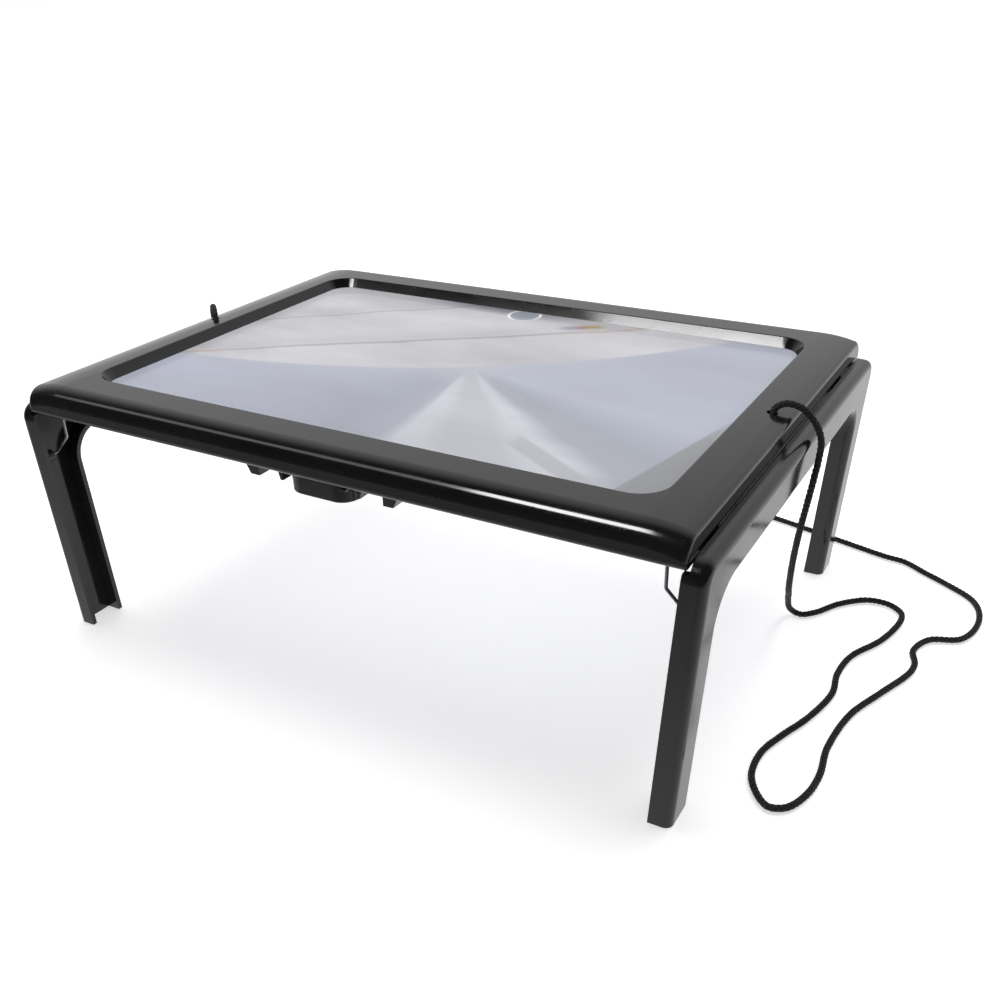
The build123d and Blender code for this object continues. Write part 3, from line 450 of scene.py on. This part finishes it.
MATERIALS = {
    "gloss_black": gloss_black(),
    "lens_clear": lens_clear(),
    "steel": brushed_metal("steel", (0.32, 0.32, 0.33), (0.6, 0.6, 0.62), 0.22, (1.0, 1.0, 0.15)),
    "stay_wire": brushed_metal("stay_wire", (0.22, 0.22, 0.23), (0.42, 0.42, 0.44), 0.25, (1.0, 1.0, 0.1)),
    "cell_steel": brushed_metal("cell_steel", (0.5, 0.5, 0.52), (0.8, 0.8, 0.82), 0.18, (0.1, 1.0, 1.0)),
    "switch_black": grained_plastic("switch_black", (0.015, 0.015, 0.016), (0.03, 0.03, 0.031), 0.4),
    "board": circuit_board(),
    "wire_red": grained_plastic("wire_red", (0.35, 0.012, 0.01), (0.5, 0.02, 0.018), 0.35),
    "wire_black": grained_plastic("wire_black", (0.012, 0.012, 0.013), (0.03, 0.03, 0.03), 0.35),
    "lamp_clear": lamp_clear(),
    "cord": braided_thread(),
    "stopper": brushed_metal("stopper", (0.45, 0.45, 0.47), (0.7, 0.7, 0.72), 0.3, (1.0, 1.0, 8.0)),
}

for subpart in frame["record"]["subparts"]:
    mesh = frame["nodes"][subpart["node"]].data
    mesh.materials.clear()
    mesh.materials.append(MATERIALS[subpart["material_slot"]])


# ================================================================ neck cord
# The cord's resting line, in millimetres: up out of the right hole, over the crossbar, loosely over the
# table, round behind the stand and up again to the left hole.
RIGHT_DROP = [
    (HOLE_X, 0.0, END_Z), (HOLE_X, 0.0, 110.5), (134.8, 1.2, 113.6), (138.0, 4.0, 114.7),
    (143.5, 6.2, 112.8), (148.3, 7.2, 107.6), (150.9, 7.4, 101.9), (151.4, 6.3, 96.5), (150.6, 2.6, 83.0),
    (148.5, 2.7, 66.4), (146.0, 8.4, 49.3), (143.0, 20.0, 30.0), (140.6, 31.5, 20.0), (138.8, 40.0, 11.5),
    (138.6, 45.0, 4.8),
]
ON_TABLE = [
    (140.5, 47.6), (144.2, 47.2), (149.5, 52.5), (156, 63), (166, 72), (175, 73), (182, 68), (183, 59),
    (179, 42), (171, 25), (169, 10), (170.5, -5), (166.5, -24), (160.5, -40), (157, -52), (157.5, -65),
    (162, -74), (168, -79), (174, -76), (178, -66), (179, -54), (177.5, -38), (180, -15), (187, 4),
    (194, 22), (195, 31), (192.5, 41), (197, 52), (208, 58), (212.5, 70), (212, 84), (207, 94),
    (196, 102), (184, 109), (174, 115), (164, 116.5), (139, 123), (104, 132), (60, 139), (0, 139),
    (-60, 139), (-110, 133), (-146, 115), (-156, 95), (-158, 82),
]
LEFT_RISE = [
    (-158.0, 69.0, 4.4), (-157.4, 60.0, 14.0), (-154.6, 36.0, 58.0), (-152.6, 20.0, 90.0),
    (-151.4, 16.8, 102.0), (-148.8, 13.8, 108.6), (-143.6, 9.0, 113.9), (-138.4, 4.4, 115.6),
    (-135.0, 1.2, 114.0), (-HOLE_X, 0.0, 110.5), (-HOLE_X, 0.0, END_Z),
]


def smooth_line(points, step):
    """Points at an even spacing along a smooth curve through the given ones."""
    points = np.array(points, float)
    ends = (2 * points[:1] - points[1:2], 2 * points[-1:] - points[-2:-1])
    padded = np.concatenate((ends[0], points, ends[1]))
    curve = []
    for before, start, end, after in zip(padded, padded[1:], padded[2:], padded[3:]):
        span = np.linalg.norm(end - start)
        lead = (end - before) * span / (span + np.linalg.norm(start - before))
        trail = (after - start) * span / (span + np.linalg.norm(after - end))
        t = np.linspace(0.0, 1.0, max(4, int(span / (step / 2))), endpoint=False)[:, None]
        curve.append((2 * t ** 3 - 3 * t ** 2 + 1) * start + (t ** 3 - 2 * t ** 2 + t) * lead
                     + (3 * t ** 2 - 2 * t ** 3) * end + (t ** 3 - t ** 2) * trail)
    curve = np.concatenate(curve + [points[-1:]])
    distance = np.concatenate(([0.0], np.cumsum(np.linalg.norm(np.diff(curve, axis=0), axis=1))))
    even = np.linspace(0.0, distance[-1], int(distance[-1] / step))
    return np.stack([np.interp(even, distance, curve[:, axis]) for axis in range(3)], axis=1), even


def carried_frames(line):
    """Unit tangents along a line, and two cross directions that turn with it without twisting."""
    tangents = np.gradient(line, axis=0)
    tangents /= np.linalg.norm(tangents, axis=1)[:, None]
    first = np.zeros_like(line)
    first[0] = np.cross(tangents[0], (0.0, 1.0, 0.0))
    for index in range(1, len(line)):
        carried = first[index - 1] - tangents[index] * (first[index - 1] @ tangents[index])
        first[index] = carried / np.linalg.norm(carried)
    first[0] /= np.linalg.norm(first[0])
    return tangents, first, np.cross(tangents, first)


def tube(line, radius, sides, vertices, faces):
    """Adds a closed round tube along a line to the lists."""
    _, first, second = carried_frames(line)
    start = sum(len(block) for block in vertices)
    turns = np.arange(sides) * 2 * math.pi / sides
    rings = (line[:, None] + radius * (np.cos(turns)[None, :, None] * first[:, None]
                                       + np.sin(turns)[None, :, None] * second[:, None]))
    vertices.append(rings.reshape(-1, 3))
    for ring in range(len(line) - 1):
        low = start + ring * sides
        for side in range(sides):
            after = (side + 1) % sides
            faces.append((low + side, low + after, low + sides + after, low + sides + side))
    faces.append(tuple(start + side for side in reversed(range(sides))))
    faces.append(tuple(start + (len(line) - 1) * sides + side for side in range(sides)))


def braided_cord():
    """The neck cord: strands that wind both ways round a core and pass over and under each other."""
    table_points = [(x, y, REST_Z) for x, y in ON_TABLE]
    points = RIGHT_DROP + table_points + LEFT_RISE
    line, distance = smooth_line(np.array(points) * MM, CORD_STEP)
    _, first, second = carried_frames(line)
    vertices = []
    faces = []
    middle = CORD_RADIUS - STRAND_RADIUS - WEAVE_DEPTH
    for way in (1, -1):
        weave = middle + way * WEAVE_DEPTH * np.cos(2 * math.pi * STRANDS_EACH_WAY * distance / CORD_PITCH)
        for strand in range(STRANDS_EACH_WAY):
            turn = 2 * math.pi * (way * distance / CORD_PITCH + strand / STRANDS_EACH_WAY)
            offset = np.cos(turn)[:, None] * first + np.sin(turn)[:, None] * second
            tube(line + weave[:, None] * offset, STRAND_RADIUS, STRAND_SIDES, vertices, faces)
    tube(line, CORE_RADIUS, CORE_SIDES, vertices, faces)
    mesh = bpy.data.meshes.new("braided_cord")
    mesh.from_pydata(np.concatenate(vertices).tolist(), [], faces)
    mesh.shade_smooth()
    mesh.materials.append(MATERIALS["cord"])
    cord = bpy.data.objects.new("braided_cord", mesh)
    bpy.context.scene.collection.objects.link(cord)
    return cord


cord = braided_cord()
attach(cord, "rim")
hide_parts("neck_cord")


# ================================================================ stage, lights and camera
FLOOR_HALF = 6.0
MIRRORED_DIM = 0.05             # level of the floor in reflections near the user
MIRRORED_BRIGHT = 0.95          # and behind the object
FLOOR_DROP = 0.1 * MM


def floor_material():
    """White paper seen from above only: soft shadows, a painted glow that grows away from the object, and
    darker towards the user in reflections.
    """
    material, tree = new_material("studio_floor")
    place = add_node(tree, "ShaderNodeSeparateXYZ", {0: object_coordinates(tree)})
    path = add_node(tree, "ShaderNodeLightPath")
    fibres = between(tree, noise(tree, 60.0, 4.0), 0.985, 1.0)
    # painted light: the floor's glow grows with the distance from the object
    far = rise(tree, length_of(tree, place.outputs[0], place.outputs[1]), 0.5, 1.0)
    lit = add_node(tree, "ShaderNodeBsdfDiffuse", {"Color": (0.8, 0.8, 0.8, 1.0)}).outputs[0]
    strength = maths(tree, "MULTIPLY", maths(tree, "ADD", fibres, far), 0.62)
    seen = add_node(tree, "ShaderNodeEmission", {"Strength": strength})
    seen = add_node(tree, "ShaderNodeAddShader", {0: lit, 1: seen.outputs[0]}).outputs[0]
    backwards = rise(tree, place.outputs[1], -0.45, 0.05)
    level = maths(tree, "ADD", MIRRORED_DIM,
                  maths(tree, "MULTIPLY", backwards, MIRRORED_BRIGHT - MIRRORED_DIM))
    mirrored = add_node(tree, "ShaderNodeEmission", {"Strength": level}).outputs[0]
    mixed = add_node(tree, "ShaderNodeMixShader", {0: path.outputs["Is Glossy Ray"], 1: seen, 2: mirrored})
    hidden = add_node(tree, "ShaderNodeBsdfTransparent").outputs[0]
    below = add_node(tree, "ShaderNodeNewGeometry").outputs["Backfacing"]
    one_sided = add_node(tree, "ShaderNodeMixShader", {0: below, 1: mixed.outputs[0], 2: hidden})
    finish_material(tree, one_sided.outputs[0])
    return material


def studio_world():
    """White behind the object, dim behind the camera, plain white where the camera looks at it."""
    world = bpy.data.worlds.new("studio")
    world.use_nodes = True
    tree = world.node_tree
    tree.nodes.clear()
    ray = add_node(tree, "ShaderNodeTexCoord").outputs["Generated"]
    place = add_node(tree, "ShaderNodeSeparateXYZ", {0: ray})
    backwards = maths(tree, "SUBTRACT", maths(tree, "MULTIPLY", place.outputs[1], math.cos(CAMERA_AZIMUTH)),
                      maths(tree, "MULTIPLY", place.outputs[0], math.sin(CAMERA_AZIMUTH) / 2))
    facing = rise(tree, backwards, -0.1, 0.5)
    level = maths(tree, "ADD", 0.04, maths(tree, "MULTIPLY", facing, 0.74))
    path = add_node(tree, "ShaderNodeLightPath")
    level = maths(tree, "MAXIMUM", level, path.outputs["Is Camera Ray"])
    white = {"Color": (1.0, 1.0, 1.0, 1.0), "Strength": level}
    background = add_node(tree, "ShaderNodeBackground", white)
    add_node(tree, "ShaderNodeOutputWorld", {"Surface": background.outputs[0]})
    bpy.context.scene.world = world


def softbox(name, place, target, size, watts, only_mirrored=False):
    """Rectangular area lamp that faces target, seen either only in reflections or never in them."""
    lamp = bpy.data.lights.new(name, "AREA")
    lamp.shape = "RECTANGLE"
    lamp.size, lamp.size_y = size
    lamp.energy = watts
    holder = bpy.data.objects.new(name, lamp)
    holder.visible_glossy = only_mirrored
    holder.visible_diffuse = not only_mirrored
    direction = Vector(target) - Vector(place)
    holder.matrix_world = Matrix.Translation(place) @ direction.to_track_quat("-Z", "Y").to_matrix().to_4x4()
    bpy.context.scene.collection.objects.link(holder)


def studio_floor():
    """The pale sheet that the object stands on."""
    mesh = bpy.data.meshes.new("studio_floor")
    signs = ((-1, -1), (1, -1), (1, 1), (-1, 1))
    corners = [(x * FLOOR_HALF, y * FLOOR_HALF, -FLOOR_DROP) for x, y in signs]
    mesh.from_pydata(corners, [], [(0, 1, 2, 3)])
    mesh.materials.append(floor_material())
    floor = bpy.data.objects.new("studio_floor", mesh)
    bpy.context.scene.collection.objects.link(floor)


def studio_camera():
    """Camera at the reference viewing angle."""
    forward = Vector((-math.sin(CAMERA_AZIMUTH) * math.cos(CAMERA_DIP),
                      math.cos(CAMERA_AZIMUTH) * math.cos(CAMERA_DIP), -math.sin(CAMERA_DIP)))
    right = forward.cross(Vector((0.0, 0.0, 1.0))).normalized()
    up = right.cross(forward)
    rolled_right = right * math.cos(CAMERA_ROLL) + up * math.sin(CAMERA_ROLL)
    rolled_up = up * math.cos(CAMERA_ROLL) - right * math.sin(CAMERA_ROLL)
    data = bpy.data.cameras.new("camera")
    data.lens = CAMERA_LENS_MM
    data.shift_y = CAMERA_SHIFT_Y
    data.clip_start = 0.01
    camera = bpy.data.objects.new("camera", data)
    rotation = Matrix((rolled_right, rolled_up, -forward)).transposed()
    camera.matrix_world = Matrix.Translation(CAMERA_PLACE) @ rotation.to_4x4()
    bpy.context.scene.collection.objects.link(camera)
    bpy.context.scene.camera = camera


studio_floor()
studio_world()
studio_camera()
softbox("overhead", (-0.1, 0.35, 1.7), (0.0, 0.0, 0.0), (1.8, 1.3), 26.0)
softbox("long_strip", (-0.70, -0.56, 0.745), (-0.70, -0.05, 0.1), (0.75, 0.2), 0.9, only_mirrored=True)
softbox("short_strip", (-0.226, -0.586, 0.784), (-0.226, -0.05, 0.1), (0.3, 0.25), 5.6, only_mirrored=True)
bpy.context.scene.view_settings.view_transform = "Standard"
